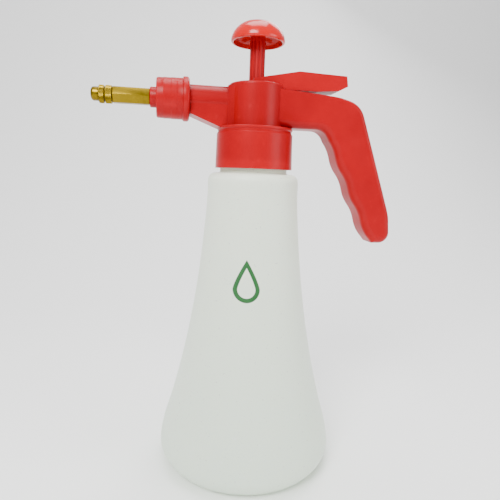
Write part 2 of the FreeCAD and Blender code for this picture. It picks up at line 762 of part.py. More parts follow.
def make_spring():
    """Coil spring under the plunger's flange, one round wire on a helix."""
    foot = value(DECK + " + valve_floor - chamber_depth")
    wire = value("spring_wire")
    length = value("5.5 - 1") - 2.2 * wire
    radius = value("(plunger_radius + valve_bore) / 2")
    turns = 4
    steps = 16 * turns
    points = []
    for step in range(steps + 1):
        angle = 2 * math.pi * turns * step / steps
        across = V(math.cos(angle), math.sin(angle), 0) * radius
        points.append(across + V(0, 0, length * step / steps))
    path = Part.BSplineCurve()
    path.interpolate(Points=points)
    start = path.value(path.FirstParameter)
    along = path.tangent(path.FirstParameter)[0]
    loop = Part.Wire(Part.Circle(start, along, wire).toShape())
    coil = Part.Wire(path.toShape()).makePipeShell([loop], True, True)
    spring = DOC.addObject("Part::Feature", "valve_spring")
    spring.Label = "valve_spring"
    spring.Shape = coil
    spring.Placement = FreeCAD.Placement(V(value(VALVE_X), 0, foot + 1.1 * wire), FreeCAD.Rotation())
    return spring


def make_lever():
    """Thumb lever: a bar with a fork round the rod, a hub for the pin and a chamfered end."""
    body = new_body("thumb_lever")
    under = wrap("valve_floor + plunger_rise + lever_gap")
    slab(body, "lever_bar", [
        ("-3", "lever_rise + 0.4"),
        ("pivot_offset", "pivot_height - lever_hub", "lever_rise", 1),
        (VALVE_X + " - 5", under + " + 0.5"),
        (VALVE_X + " - 3", under),
        (VALVE_X + " + 16", under),
        ("lever_reach - 5.7", "lever_rise - 1.4"),
        ("lever_reach", "lever_rise + 1.6"),
        ("lever_reach - 1", "lever_rise + 7.8"),
        (VALVE_X + " + 4.5", "lever_rise + 8.7"),
        ("-3", "lever_rise + 2.9"),
    ], "lever_width")
    sketch = new_sketch(body, "fork_outline", "XY_Plane", "lever_rise - 6")
    fork = wrap("rod_radius + fork_gap")
    outline(sketch, [
        ("-5", "-" + fork),
        ("fork_gap * 2", "-" + fork, fork + " + 0.4", -1),
        ("fork_gap * 2", fork),
        ("-5", fork),
    ])
    extrude(body, "fork", sketch, "16", cut=True, reverse=True)
    sketch = new_sketch(body, "pin_circle", "XZ_Plane", "-lever_width")
    circle(sketch, "pivot_offset", "pivot_height", "pin_radius + run_fit")
    extrude(body, "pin_hole", sketch, "lever_width * 2", cut=True, reverse=True)
    return on_deck(body)


def make_lever_pin():
    """Steel hinge pin, pressed in from the far side of the tower."""
    body = new_body("lever_pin")
    sketch = new_sketch(body, "pin_circle", "XZ_Plane", "-" + TOWER + " + 4.5")
    circle(sketch, "pivot_offset", "pivot_height", "pin_radius")
    extrude(body, "pin", sketch, TOWER + " * 2 - 10")
    return on_deck(body)


def make_piston_ring():
    """Rubber ring in the piston's groove, just clear of the barrel."""
    wide = wrap("pump_bore - run_fit")
    middle = wrap(PISTON_TOP + " - piston_length / 2")
    foot = wrap(middle + " - ring_width / 2")
    top = wrap(middle + " + ring_width / 2")
    return ring("piston_ring", wide + " - ring_depth", "pump_bore - 0.02", foot, top, on_deck)


def make_gasket():
    """Rubber ring between the bottle's mouth and the head's roof."""
    foot = wrap("-roof_thickness - gasket_thickness")
    return ring("collar_gasket", NECK_BORE + " + 0.3", THREAD, foot, "-roof_thickness", on_deck)


def make_dip_tube():
    """Straight feed tube from its socket in the roof to just above the bottle's floor."""
    body = ring("dip_tube", "dip_tube_radius - dip_tube_wall", "dip_tube_radius",
                wrap("tube_clearance + filter_length - 8 - " + DECK),
                "(socket_depth - roof_thickness)", on_deck)
    bind(body, ".Placement.Base.x", DIP_X)
    return body


def make_filter():
    """Slotted foot on the feed tube."""
    body = new_body("dip_tube_filter")
    foot = wrap("tube_clearance - " + DECK)
    top = wrap(foot + " + filter_length")
    revolve(body, "filter_turn", [
        ("0", foot),
        ("dip_tube_radius + 0.4", foot),
        ("dip_tube_radius + 1.2", foot + " + 1"),
        ("dip_tube_radius + 1.2", top),
        ("dip_tube_radius", top),
        ("dip_tube_radius", top + " - 8"),
        ("dip_tube_radius - dip_tube_wall", top + " - 8"),
        ("dip_tube_radius - dip_tube_wall", foot + " + 1.5"),
        ("0", foot + " + 1.5"),
    ])
    sketch = new_sketch(body, "slot_outline", "XZ_Plane")
    slot_foot = foot + " + 2.2"
    slot_top = foot + " + 6.8"
    outline(sketch, [("-0.4", slot_foot), ("0.4", slot_foot), ("0.4", slot_top), ("-0.4", slot_top)])
    slot = extrude(body, "slot", sketch, "dip_tube_radius * 4", cut=True, both=True)
    pattern = body.newObject("PartDesign::PolarPattern", "slots")
    pattern.Originals = [slot]
    pattern.Axis = (sketch, ["V_Axis"])
    pattern.Angle = 180
    pattern.Occurrences = 3
    body.Tip = pattern
    bind(body, ".Placement.Base.x", DIP_X)
    return on_deck(body)


def make_nut():
    """Coupling nut on the spout, with a flange at its back and shallow steps round it."""
    body = new_body("nozzle_nut")
    back = "nut_start"
    flange = wrap("nut_start + 0.9")
    flange_end = wrap(flange + " + nut_flange_width")
    step_one = wrap(NUT_END + " - nut_length * 0.45")
    step_two = wrap(NUT_END + " - nut_length * 0.2")
    revolve(body, "nut_turn", [
        (NUT_BORE, back),
        (NUT_RADIUS + " + 0.2", back),
        (NUT_RADIUS + " + nut_flange", flange),
        (NUT_RADIUS + " + nut_flange", flange_end),
        (NUT_RADIUS + " + 0.3", flange_end + " + 0.2"),
        (NUT_RADIUS + " + 0.3", step_one),
        (NUT_RADIUS + " + 0.15", step_one + " + 0.15"),
        (NUT_RADIUS + " + 0.15", step_two),
        (NUT_RADIUS, step_two + " + 0.15"),
        (NUT_RADIUS, NUT_END + " - 0.3"),
        (NUT_RADIUS + " - 0.3", NUT_END),
        ("sleeve_radius + nut_clearance", NUT_END),
        ("sleeve_radius + nut_clearance", NUT_END + " - nut_web"),
        (NUT_BORE, NUT_END + " - nut_web"),
    ])
    return on_spout(body)


def make_nozzle_seal():
    """Flat rubber washer between the spout's end and the sleeve."""
    return ring("nozzle_seal", "spout_bore", "spout_radius - 0.3", "spout_length",
                SLEEVE_BACK, on_spout)


def make_sleeve():
    """Red sleeve: its flange is clamped by the nut and the brass tube sits in its bore."""
    body = new_body("nozzle_sleeve")
    flange = wrap(SLEEVE_BACK + " + sleeve_flange")
    revolve(body, "sleeve_turn", [
        ("nozzle_bore", SLEEVE_BACK),
        ("spout_radius", SLEEVE_BACK),
        ("spout_radius", flange),
        ("sleeve_radius", flange),
        ("sleeve_radius", SLEEVE_END + " - 0.3"),
        ("sleeve_radius - 0.3", SLEEVE_END),
        (SLEEVE_BORE, SLEEVE_END),
        (SLEEVE_BORE, SLEEVE_BACK + " + 0.8"),
        ("nozzle_bore", SLEEVE_BACK + " + 0.8"),
    ])
    return on_spout(body)


def make_nozzle_tube():
    """Brass tube: round root in the sleeve, hexagon bar, grooved and threaded spigot."""
    body = new_body("nozzle_tube")
    root = wrap(SLEEVE_BACK + " + 0.8")
    ring_foot = wrap(TIP_START + " + 0.9")
    revolve(body, "tube_turn", [
        ("nozzle_bore", root),
        (SLEEVE_BORE, root),
        (SLEEVE_BORE, HEX_END),
        ("spigot_radius", HEX_END),
        ("spigot_radius", ring_foot),
        ("spigot_radius - 0.8", ring_foot),
        ("spigot_radius - 0.8", ring_foot + " + 1"),
        ("spigot_radius", ring_foot + " + 1"),
        ("spigot_radius", SPIGOT_END + " - 0.4"),
        ("spigot_radius - 0.4", SPIGOT_END),
        ("nozzle_bore", SPIGOT_END),
    ])
    sketch = new_sketch(body, "hex_outline", "XY_Plane", SLEEVE_END)
    corner = "hex_across / 2 / cos(30)"
    spots = []
    for number in range(6):
        turn = 30 + 60 * number
        spots.append((corner + " * cos(%d)" % turn, corner + " * sin(%d)" % turn))
    outline(sketch, spots)
    circle(sketch, "0", "0", "nozzle_bore")
    extrude(body, "hex_bar", sketch, "hex_length")
    return on_spout(body)


def knurl(body, name, foot, length, count):
    """Fine grooves along the edge of a turned ring."""
    sketch = new_sketch(body, name + "_circle", "XY_Plane", foot)
    circle(sketch, "ring_radius + 0.12", "0", "0.3")
    groove = extrude(body, name, sketch, length, cut=True, reverse=True)
    pattern = body.newObject("PartDesign::PolarPattern", name + "s")
    pattern.Originals = [groove]
    pattern.Axis = (sketch, ["N_Axis"])
    pattern.Angle = 360
    pattern.Occurrences = count
    body.Tip = pattern


def make_lock_ring():
    """Knurled brass ring that locks the tip's setting."""
    body = new_body("lock_ring")
    foot = wrap(HEX_END + " + 0.2")
    revolve(body, "lock_turn", [
        ("spigot_radius + run_fit", foot),
        ("ring_radius - 0.4", foot),
        ("ring_radius", foot + " + 0.4"),
        ("ring_radius", LOCK_END + " - 0.4"),
        ("ring_radius - 0.4", LOCK_END),
        ("spigot_radius + run_fit", LOCK_END),
    ])
    knurl(body, "lock_groove", foot + " + 0.5", "lock_length - 1", 32)
    return on_spout(body)


def make_tip():
    """Brass spray tip: knurled ring, round nose and a small orifice."""
    body = new_body("nozzle_tip")
    bore = "spigot_radius + run_fit"
    knurl_end = wrap(TIP_START + " + knurl_length")
    seat = wrap(SPIGOT_END + " + core_length + 0.1")
    revolve(body, "tip_turn", [
        (bore, TIP_START),
        ("ring_radius - 0.4", TIP_START),
        ("ring_radius", TIP_START + " + 0.4"),
        ("ring_radius", knurl_end + " - 0.4"),
        ("ring_radius - 0.4", knurl_end),
        ("tip_radius", knurl_end),
        ("tip_radius", TIP_END + " - 0.5"),
        ("tip_radius - 0.5", TIP_END),
        ("orifice * 3", TIP_END),
        ("orifice", TIP_END + " - 0.6"),
        ("orifice", seat),
        (bore, seat),
    ])
    knurl(body, "tip_groove", wrap(TIP_START + " + 0.5"), "knurl_length - 1", 32)
    return on_spout(body)


def make_tip_ring():
    """Rubber ring in the spigot's groove, just clear of the tip's bore."""
    foot = wrap(TIP_START + " + 0.9")
    return ring("tip_o_ring", "spigot_radius - 0.8", "spigot_radius + run_fit / 2",
                foot, foot + " + 1", on_spout)


def make_swirl_insert():
    """Plastic core in the tip, with a hole down its middle."""
    foot = wrap(SPIGOT_END + " + 0.1")
    return ring("swirl_insert", "0.6", "spigot_radius - 0.1", foot, foot + " + core_length", on_spout)


MAKERS = [
    make_bottle, make_head, make_gasket, make_barrel, make_barrel_rings, make_rod_guide,
    make_rod, make_knob, make_piston, make_piston_ring, make_barrel_foot, make_check_valve,
    make_lever, make_lever_pin, make_valve_pin, make_valve_rings, make_spring,
    make_dip_tube, make_filter, make_nut, make_nozzle_seal, make_sleeve, make_nozzle_tube,
    make_lock_ring, make_tip, make_tip_ring, make_swirl_insert,
]

NODES = [
    "bottle", "sprayer_head", "collar_gasket", "pump_barrel", "barrel_o_rings", "rod_guide",
    "pump_rod", "pump_knob", "piston", "piston_ring", "barrel_foot", "check_valve",
    "thumb_lever", "lever_pin", "valve_pin", "valve_seal", "valve_seat", "valve_o_ring",
    "valve_cap", "valve_spring", "dip_tube", "dip_tube_filter", "nozzle_nut", "nozzle_seal",
    "nozzle_sleeve", "nozzle_tube", "lock_ring", "nozzle_tip", "tip_o_ring", "swirl_insert",
]


def main():
    """Builds every piece, checks it and writes it."""
    for make in MAKERS:
        make()
    DOC.recompute()
    for one in DOC.Objects:
        if "Invalid" in one.State or "Error" in one.State:
            raise RuntimeError("%s failed to build" % one.Name)
    os.makedirs("parts", exist_ok=True)
    for label in NODES:
        piece = DOC.getObjectsByLabel(label)[0]
        if piece.Shape.isNull() or not piece.Shape.isValid():
            raise RuntimeError("%s has no valid shape" % label)
        piece.Shape.exportStep("parts/%s.step" % label)
        box = piece.Shape.BoundBox
        print("%-16s %2d solids %10.1f mm3  x %.1f %.1f  z %.1f %.1f" % (
            label, len(piece.Shape.Solids), piece.Shape.Volume,
            box.XMin, box.XMax, box.ZMin, box.ZMax))


main()
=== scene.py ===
# %% [markdown]
# # A hand pressure sprayer
#
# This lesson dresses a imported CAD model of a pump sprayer: a milky waisted
# bottle, a red moulded head with a pistol handle, and a brass nozzle.
# The CAD nodes hold every size and every moving body, so the first cell loads
# them, and all later cells take their places from them.

# %% Load the frame
import json
import math

import bmesh
import bpy
from mathutils import Matrix, Vector


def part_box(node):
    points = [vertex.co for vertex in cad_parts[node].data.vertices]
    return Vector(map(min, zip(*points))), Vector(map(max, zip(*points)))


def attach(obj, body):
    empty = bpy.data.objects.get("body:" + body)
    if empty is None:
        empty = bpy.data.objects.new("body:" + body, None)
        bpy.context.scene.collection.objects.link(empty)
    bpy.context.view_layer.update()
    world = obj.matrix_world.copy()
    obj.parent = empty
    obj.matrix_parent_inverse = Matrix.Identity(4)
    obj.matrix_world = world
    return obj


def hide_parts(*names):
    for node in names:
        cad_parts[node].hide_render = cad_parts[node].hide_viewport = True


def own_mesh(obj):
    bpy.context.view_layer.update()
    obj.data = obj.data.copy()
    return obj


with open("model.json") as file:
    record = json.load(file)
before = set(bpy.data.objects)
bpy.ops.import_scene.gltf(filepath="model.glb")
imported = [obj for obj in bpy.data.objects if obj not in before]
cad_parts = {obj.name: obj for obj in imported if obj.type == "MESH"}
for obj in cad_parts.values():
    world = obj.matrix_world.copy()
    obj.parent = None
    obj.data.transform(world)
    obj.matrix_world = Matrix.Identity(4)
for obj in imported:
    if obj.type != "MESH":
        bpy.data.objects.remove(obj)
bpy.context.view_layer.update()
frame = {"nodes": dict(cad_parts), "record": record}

MM = 0.001

print("nodes:", len(frame["nodes"]))

# %% [markdown]
# ## Small helpers
#
# Blender's operators act on whatever is selected, and the loaded nodes come in
# selected. So every step starts by letting go of everything. Points, edges and
# faces are then picked in code, by where they lie.

# %% Selecting by place
def let_go():
    """Leaves edit mode and deselects every object."""
    if bpy.context.object and bpy.context.object.mode != "OBJECT":
        bpy.ops.object.mode_set(mode="OBJECT")
    bpy.ops.object.select_all(action="DESELECT")


def pick(obj):
    """Makes one object the selected and active one."""
    let_go()
    obj.select_set(True)
    bpy.context.view_layer.objects.active = obj


def edit(obj, kind="VERT"):
    """Opens edit mode on an object with nothing selected."""
    pick(obj)
    bpy.ops.object.mode_set(mode="EDIT")
    bpy.ops.mesh.select_mode(type=kind)
    bpy.ops.mesh.select_all(action="DESELECT")


def choose(obj, test, what="verts"):
    """Selects the vertices, edges or faces that pass a test, in edit mode."""
    mesh = bmesh.from_edit_mesh(obj.data)
    for part in getattr(mesh, what):
        if test(part):
            part.select_set(True)
    mesh.select_flush_mode()
    bmesh.update_edit_mesh(obj.data)


def done():
    """Leaves edit mode."""
    bpy.ops.object.mode_set(mode="OBJECT")


def apply_modifier(obj, kind, **settings):
    """Adds a modifier, sets it and applies it."""
    pick(obj)
    modifier = obj.modifiers.new(kind.lower(), kind)
    for name, setting in settings.items():
        setattr(modifier, name, setting)
    bpy.ops.object.modifier_apply(modifier=modifier.name)


def smooth(obj, degrees):
    """Smooth shading, with creases kept where faces meet at more than an angle."""
    pick(obj)
    bpy.ops.object.shade_smooth_by_angle(angle=math.radians(degrees))


def freeze(obj):
    """Moves the object's place, turn and size into its mesh."""
    pick(obj)
    bpy.ops.object.transform_apply(location=True, rotation=True, scale=True)


# %% [markdown]
# ## Turned shapes
#
# Most pieces of a sprayer are round. By hand, such a piece starts as a circle.
# The circle's edge is extruded up and scaled, ring after ring, as a potter
# pulls up a wall. `turned` does the same from a list of (radius, height)
# stations. A list that comes back to its first station makes a closed wall.
# `coiled` sweeps a small ring round and up instead, for a thread or a spring.

# %% Pulling up a ring
def turned(name, stations, sides):
    """A shape of revolution about Z, pulled up ring by ring. Lengths are in metres."""
    let_go()
    radius, height = stations[0]
    bpy.ops.mesh.primitive_circle_add(vertices=sides, radius=radius, location=(0, 0, height))
    obj = bpy.context.object
    obj.name = name
    obj.data.name = name
    freeze(obj)
    bpy.ops.object.mode_set(mode="EDIT")
    bpy.ops.mesh.select_mode(type="EDGE")
    bpy.ops.mesh.select_all(action="SELECT")
    for next_radius, next_height in stations[1:]:
        bpy.ops.mesh.extrude_region_move(
            TRANSFORM_OT_translate={"value": (0, 0, next_height - height)})
        share = next_radius / radius
        bpy.ops.transform.resize(value=(share, share, 1), center_override=(0, 0, next_height))
        radius, height = next_radius, next_height
    bpy.ops.mesh.select_all(action="SELECT")
    bpy.ops.mesh.remove_doubles(threshold=1e-6)
    bpy.ops.mesh.select_all(action="DESELECT")
    bpy.ops.mesh.select_mode(type="VERT")
    seal(obj)
    return obj


def seal(obj):
    """Closes open ends and turns all faces outward, then leaves edit mode."""
    close_ends(obj)
    bpy.ops.mesh.select_all(action="SELECT")
    bpy.ops.mesh.normals_make_consistent(inside=False)
    done()


def close_ends(obj):
    """Fills any open round end with a face and a centre point."""
    bpy.ops.mesh.select_all(action="DESELECT")
    bpy.ops.mesh.select_non_manifold(extend=False, use_wire=False, use_multi_face=False,
                                     use_non_contiguous=False, use_verts=False)
    mesh = bmesh.from_edit_mesh(obj.data)
    if any(vertex.select for vertex in mesh.verts):
        bpy.ops.mesh.edge_face_add()
        bpy.ops.mesh.select_all(action="DESELECT")
        choose(obj, lambda face: len(face.verts) > 4, "faces")
        bpy.ops.mesh.poke()
        bpy.ops.mesh.select_all(action="DESELECT")


def coiled(name, sides, radius, stretch, start, turns, rise, steps):
    """Sweeps a small upright ring round Z and up. Lengths are in metres."""
    let_go()
    bpy.ops.mesh.primitive_circle_add(vertices=sides, radius=radius, location=(0, 0, 0))
    obj = bpy.context.object
    obj.name = name
    edit(obj)
    bpy.ops.mesh.select_all(action="SELECT")
    bpy.ops.transform.rotate(value=math.pi / 2, orient_axis="X", center_override=(0, 0, 0))
    bpy.ops.transform.resize(value=stretch, center_override=(0, 0, 0))
    bpy.ops.transform.translate(value=start)
    done()
    apply_modifier(obj, "SCREW", angle=2 * math.pi * turns, screw_offset=rise,
                   steps=steps, render_steps=steps, use_smooth_shade=True)
    edit(obj)
    seal(obj)
    smooth(obj, 50)
    return obj


def arc(centre, radius, first, last, steps):
    """Stations along an arc in the (radius, height) plane. Angles are in degrees."""
    found = []
    for step in range(steps + 1):
        angle = math.radians(first + (last - first) * step / steps)
        found.append((centre[0] + radius * math.cos(angle), centre[1] + radius * math.sin(angle)))
    return found


def lay_on_spout(obj):
    """Turns a piece made about Z so that it lies along the spout, pointing to -X."""
    obj.matrix_world = Matrix.Translation((0, 0, SPOUT_Z)) @ Matrix.Rotation(-math.pi / 2, 4, "Y")
    freeze(obj)


def finish_piece(obj, body, material, *nodes):
    """Gives a piece its material, lets it ride on a body and stand for CAD nodes."""
    obj.data.materials.clear()
    obj.data.materials.append(material)
    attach(obj, body)
    if nodes:
        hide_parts(*nodes)
    print("%s: %d faces" % (obj.name, len(obj.data.polygons)))


# %% [markdown]
# ## Heights and lengths that pieces share
#
# The few numbers that several pieces need are read once here.

# %% Read the places
def low(node):
    """A node's lowest corner, in metres."""
    return Vector(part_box(node)[0])


def high(node):
    """A node's highest corner, in metres."""
    return Vector(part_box(node)[1])


SPOUT_Z = (low("nozzle_nut").z + high("nozzle_nut").z) / 2
NECK_TOP = high("bottle").z
print("spout height", round(SPOUT_Z, 4), "neck top", round(NECK_TOP, 4))

# %% [markdown]
# ## Shared surface effects
#
# Real plastic is never one flat colour. It has a fine skin from the mould, soft clouds of tone,
# paler edges and a little dust. On the plastics the paler edges are partly rubbed wear and partly
# a painted glow of light through thin edges, and darker hollows are painted shade. Each effect is
# a node group, built once, with inputs that every material sets for itself. The groups give out
# only masks, colours and heights; the shader stays in the material.

# %% Wiring nodes
def new_group(name, inputs, outputs):
    """An empty node group of float sockets. Inputs are (name, default) pairs."""
    group = bpy.data.node_groups.new(name, "ShaderNodeTree")
    for label, default in inputs:
        socket = group.interface.new_socket(
            label, in_out="INPUT", socket_type="NodeSocketFloat")
        socket.default_value = default
    for label in outputs:
        group.interface.new_socket(label, in_out="OUTPUT", socket_type="NodeSocketFloat")
    start = group.nodes.new("NodeGroupInput")
    end = group.nodes.new("NodeGroupOutput")
    return group, start, end


def add(tree, kind, **settings):
    """Adds a node. Settings are its own properties or its inputs' values."""
    node = tree.nodes.new("ShaderNode" + kind)
    for name, setting in settings.items():
        if hasattr(node, name):
            setattr(node, name, setting)
        else:
            node.inputs[name.replace("_", " ")].default_value = setting
    return node


def maths(tree, operation, first, second=None, clamp=False):
    """A Math node. Each input is a socket or a number."""
    node = tree.nodes.new("ShaderNodeMath")
    node.operation = operation
    node.use_clamp = clamp
    for index, given in enumerate((first, second)):
        if given is None:
            continue
        if isinstance(given, (int, float)):
            node.inputs[index].default_value = given
        else:
            tree.links.new(given, node.inputs[index])
    return node.outputs[0]


def ramp(tree, source, low_value, high_value):
    """Stretches a value so that low_value gives 0 and high_value gives 1."""
    node = tree.nodes.new("ShaderNodeMapRange")
    node.inputs["From Min"].default_value = low_value
    node.inputs["From Max"].default_value = high_value
    tree.links.new(source, node.inputs["Value"])
    return node.outputs["Result"]


def noise(tree, place, scale, detail, roughness=0.5):
    """A Noise Texture on the given coordinates."""
    node = add(tree, "TexNoise", Scale=scale, Detail=detail, Roughness=roughness)
    tree.links.new(place, node.inputs["Vector"])
    return node.outputs["Fac"]


# %% Node group: moulded skin
GRAIN_SCALE, WAVE_SCALE, CLOUD_SCALE, FLECK_SCALE = 2600.0, 55.0, 38.0, 900.0
FLECK_STARTS, FLECK_FULL = 0.70, 0.76


def moulded_skin():
    """Fine bumps of a mould's skin, wide sink marks and soft clouds of tone."""
    tree, start, end = new_group(
        "moulded_skin",
        [("Grain Size", 1.0), ("Grain Height", 0.3), ("Wave Height", 0.5)],
        ["Height", "Cloud", "Fleck"])
    place = add(tree, "TexCoord").outputs["Object"]
    size = add(tree, "VectorMath", operation="SCALE")
    tree.links.new(place, size.inputs[0])
    tree.links.new(start.outputs["Grain Size"], size.inputs["Scale"])
    grain = noise(tree, size.outputs[0], GRAIN_SCALE, 2.0)
    wave = noise(tree, size.outputs[0], WAVE_SCALE, 1.0)
    cloud = noise(tree, place, CLOUD_SCALE, 4.0, 0.6)
    fleck = noise(tree, place, FLECK_SCALE, 1.0)
    height = maths(tree, "MULTIPLY", grain, start.outputs["Grain Height"])
    swell = maths(tree, "MULTIPLY", wave, start.outputs["Wave Height"])
    both = maths(tree, "ADD", height, swell)
    tree.links.new(both, end.inputs["Height"])
    tree.links.new(ramp(tree, cloud, 0.3, 0.7), end.inputs["Cloud"])
    tree.links.new(ramp(tree, fleck, FLECK_STARTS, FLECK_FULL), end.inputs["Fleck"])
    return tree


SKIN = moulded_skin()

# %% Node group: edge and hollow masks
FLAT = 0.5  # the pointiness of a flat face
EDGE_BREAKUP_SCALE = 420.0


def edge_and_hollow_masks():
    """Masks that are 1 on sharp edges and in hollows, from the mesh's own pointiness."""
    tree, start, end = new_group(
        "edge_and_hollow_masks",
        [("Width", 0.02), ("Breakup", 0.5)],
        ["Edge", "Hollow"])
    point = add(tree, "NewGeometry").outputs["Pointiness"]
    place = add(tree, "TexCoord").outputs["Object"]
    broken = noise(tree, place, EDGE_BREAKUP_SCALE, 5.0, 0.7)
    # On the plastics this edge mask is partly wear and partly a painted glow of light through thin
    # edges.
    above = maths(tree, "SUBTRACT", point, FLAT)
    edge = maths(tree, "DIVIDE", above, start.outputs["Width"], clamp=True)
    rough = maths(tree, "MULTIPLY", broken, start.outputs["Breakup"])
    kept = maths(tree, "SUBTRACT", edge, rough, clamp=True)
    # On the plastics this hollow mask paints shade in creases; on the metals it places tarnish.
    below = maths(tree, "SUBTRACT", FLAT, point)
    hollow = maths(tree, "DIVIDE", below, start.outputs["Width"], clamp=True)
    tree.links.new(kept, end.inputs["Edge"])
    tree.links.new(hollow, end.inputs["Hollow"])
    return tree


EDGES = edge_and_hollow_masks()

# %% Node group: handling marks
SCRATCH_TURNS_AND_SCALES = ((0.6, 260.0), (2.1, 310.0))
SCRATCH_STARTS, SCRATCH_FULL = 0.715, 0.735
SMUDGE_SCALE = 70.0


def handling_marks():
    """Thin scratches and faint smudges, as masks."""
    tree, start, end = new_group("handling_marks", [("Amount", 0.5)], ["Scratch", "Smudge"])
    place = add(tree, "TexCoord").outputs["Object"]
    scratches = []
    for turn, scale in SCRATCH_TURNS_AND_SCALES:
        mapping = add(tree, "Mapping")
        mapping.inputs["Rotation"].default_value = (turn, turn * 0.7, turn * 1.3)
        mapping.inputs["Scale"].default_value = (1.0, 0.05, 1.0)
        tree.links.new(place, mapping.inputs["Vector"])
        line = noise(tree, mapping.outputs[0], scale, 2.0)
        scratches.append(ramp(tree, line, SCRATCH_STARTS, SCRATCH_FULL))
    both = maths(tree, "MAXIMUM", *scratches)
    tree.links.new(maths(tree, "MULTIPLY", both, start.outputs["Amount"], clamp=True),
                   end.inputs["Scratch"])
    smudge = ramp(tree, noise(tree, place, SMUDGE_SCALE, 5.0, 0.65), 0.45, 0.75)
    tree.links.new(maths(tree, "MULTIPLY", smudge, start.outputs["Amount"], clamp=True),
                   end.inputs["Smudge"])
    return tree


MARKS = handling_marks()
print("groups:", [group.name for group in bpy.data.node_groups])

# %% [markdown]
# ## Materials
#
# Every material starts from the Principled shader. What is the same all over,
# such as the index of refraction, is typed into the shader's own socket. What
# changes over the surface comes from the groups above: a cloud lightens the
# colour, scratches and smudges change the roughness, the grain goes to a bump.
# The loaded nodes bring plain materials of their own. Those go first, so that
# the names below are free.

# %% Start a material
for imported in list(bpy.data.materials):
    bpy.data.materials.remove(imported)


def place_group(tree, group, **values):
    """Puts a node group in a material and sets its inputs."""
    node = tree.nodes.new("ShaderNodeGroup")
    node.node_tree = group
    for name, given in values.items():
        node.inputs[name.replace("_", " ")].default_value = given
    return node.outputs


def mix(tree, share, first, second):
    """A colour mix. The share is a socket; colours are (r, g, b) or sockets."""
    node = tree.nodes.new("ShaderNodeMix")
    node.data_type = "RGBA"
    tree.links.new(share, node.inputs[0])
    for index, given in ((6, first), (7, second)):
        if isinstance(given, tuple):
            node.inputs[index].default_value = (*given, 1.0)
        else:
            tree.links.new(given, node.inputs[index])
    return node.outputs[2]


def start_material(name, **sockets):
    """A material with its Principled shader's plain sockets set."""
    material = bpy.data.materials.new(name)
    material.use_nodes = True
    tree = material.node_tree
    shader = tree.nodes["Principled BSDF"]
    for label, given in sockets.items():
        shader.inputs[label.replace("_", " ")].default_value = given
    return material, tree, shader


def bump(tree, shader, height, distance):
    """Feeds a height into the shader's normal through a Bump node. Distance in metres."""
    node = add(tree, "Bump", Strength=1.0, Distance=distance)
    tree.links.new(height, node.inputs["Height"])
    tree.links.new(node.outputs["Normal"], shader.inputs["Normal"])


# %% Moulded plastic
def moulded_plastic(name, colour, pale, deep, roughness, grain=0.25, wave=0.6, **sockets):
    """Injection-moulded plastic: clouds of tone, painted shade in hollows, paler edges that are
    partly rubbed wear and partly a painted glow of light through thin edges, scratches and skin.
    """
    material, tree, shader = start_material(name, IOR=1.5, **sockets)
    skin = place_group(tree, SKIN, Grain_Size=1.0, Grain_Height=grain, Wave_Height=wave)
    edges = place_group(tree, EDGES, Width=0.06, Breakup=0.9)
    marks = place_group(tree, MARKS, Amount=0.6)
    base = mix(tree, maths(tree, "MULTIPLY", skin["Cloud"], 0.5), colour, deep)
    # Painted shade: hollows and creases are darkened toward the deep colour.
    base = mix(tree, maths(tree, "MULTIPLY", edges["Hollow"], 0.45), base, deep)
    # Paler edges: partly rubbed wear and partly a painted glow of light through thin plastic
    # edges.
    base = mix(tree, maths(tree, "MULTIPLY", edges["Edge"], 0.55), base, pale)
    base = mix(tree, maths(tree, "MULTIPLY", marks["Scratch"], 0.35), base, pale)
    tree.links.new(base, shader.inputs["Base Color"])
    shine = maths(tree, "MULTIPLY", marks["Smudge"], 0.14)
    shine = maths(tree, "ADD", shine, roughness)
    shine = maths(tree, "ADD", shine, maths(tree, "MULTIPLY", marks["Scratch"], 0.25), clamp=True)
    tree.links.new(shine, shader.inputs["Roughness"])
    bump(tree, shader, skin["Height"], 0.00006)
    return material


# %% Plastics and rubber
RED = moulded_plastic(
    "red_plastic", colour=(0.34, 0.0, 0.004), pale=(0.44, 0.003, 0.008),
    deep=(0.20, 0.0, 0.002), roughness=0.30, Specular_IOR_Level=0.12)
RED_GLOSS = moulded_plastic(
    "red_gloss_plastic", colour=(0.50, 0.0, 0.0), pale=(0.60, 0.02, 0.01),
    deep=(0.38, 0.0, 0.0), roughness=0.16, grain=0.05, wave=0.3,
    Subsurface_Weight=0.15, Subsurface_Scale=0.006,
    Subsurface_Radius=(1.0, 0.02, 0.01), Specular_IOR_Level=0.35)
WHITE = moulded_plastic(
    "white_plastic", colour=(0.80, 0.80, 0.76), pale=(0.9, 0.9, 0.88),
    deep=(0.70, 0.70, 0.65), roughness=0.38, Subsurface_Weight=0.3, Subsurface_Scale=0.003)
TUBING = moulded_plastic(
    "clear_tube_plastic", colour=(0.78, 0.80, 0.76), pale=(0.9, 0.9, 0.88),
    deep=(0.66, 0.68, 0.62), roughness=0.30, Subsurface_Weight=0.5, Subsurface_Scale=0.004)
RUBBER = moulded_plastic(
    "black_rubber", colour=(0.022, 0.022, 0.022), pale=(0.07, 0.07, 0.07),
    deep=(0.012, 0.012, 0.012), roughness=0.62, grain=0.5)
print("plastics:", [made.name for made in (RED, RED_GLOSS, WHITE, TUBING, RUBBER)])

# %% [markdown]
# ### The bottle's milky plastic
#
# A blow-moulded bottle is polyethylene: milky, matt and a little see-through, so light soaks in
# and comes out softened. Its colour carries painted shade: lighter and warmer near the neck, and
# darker and greyer lower down. It has tiny dark specks.

# %% A printed water drop
DROP_ASIDE, DROP_HEIGHT = 0.0075, 0.126  # the ball's centre, toward the spout and up
DROP_RADIUS, DROP_POINT = 0.0082, 0.018  # the ball, and the point's rise above its centre
PRINTED_LINE, PRINT_SOFTNESS = 0.0030, 0.0003


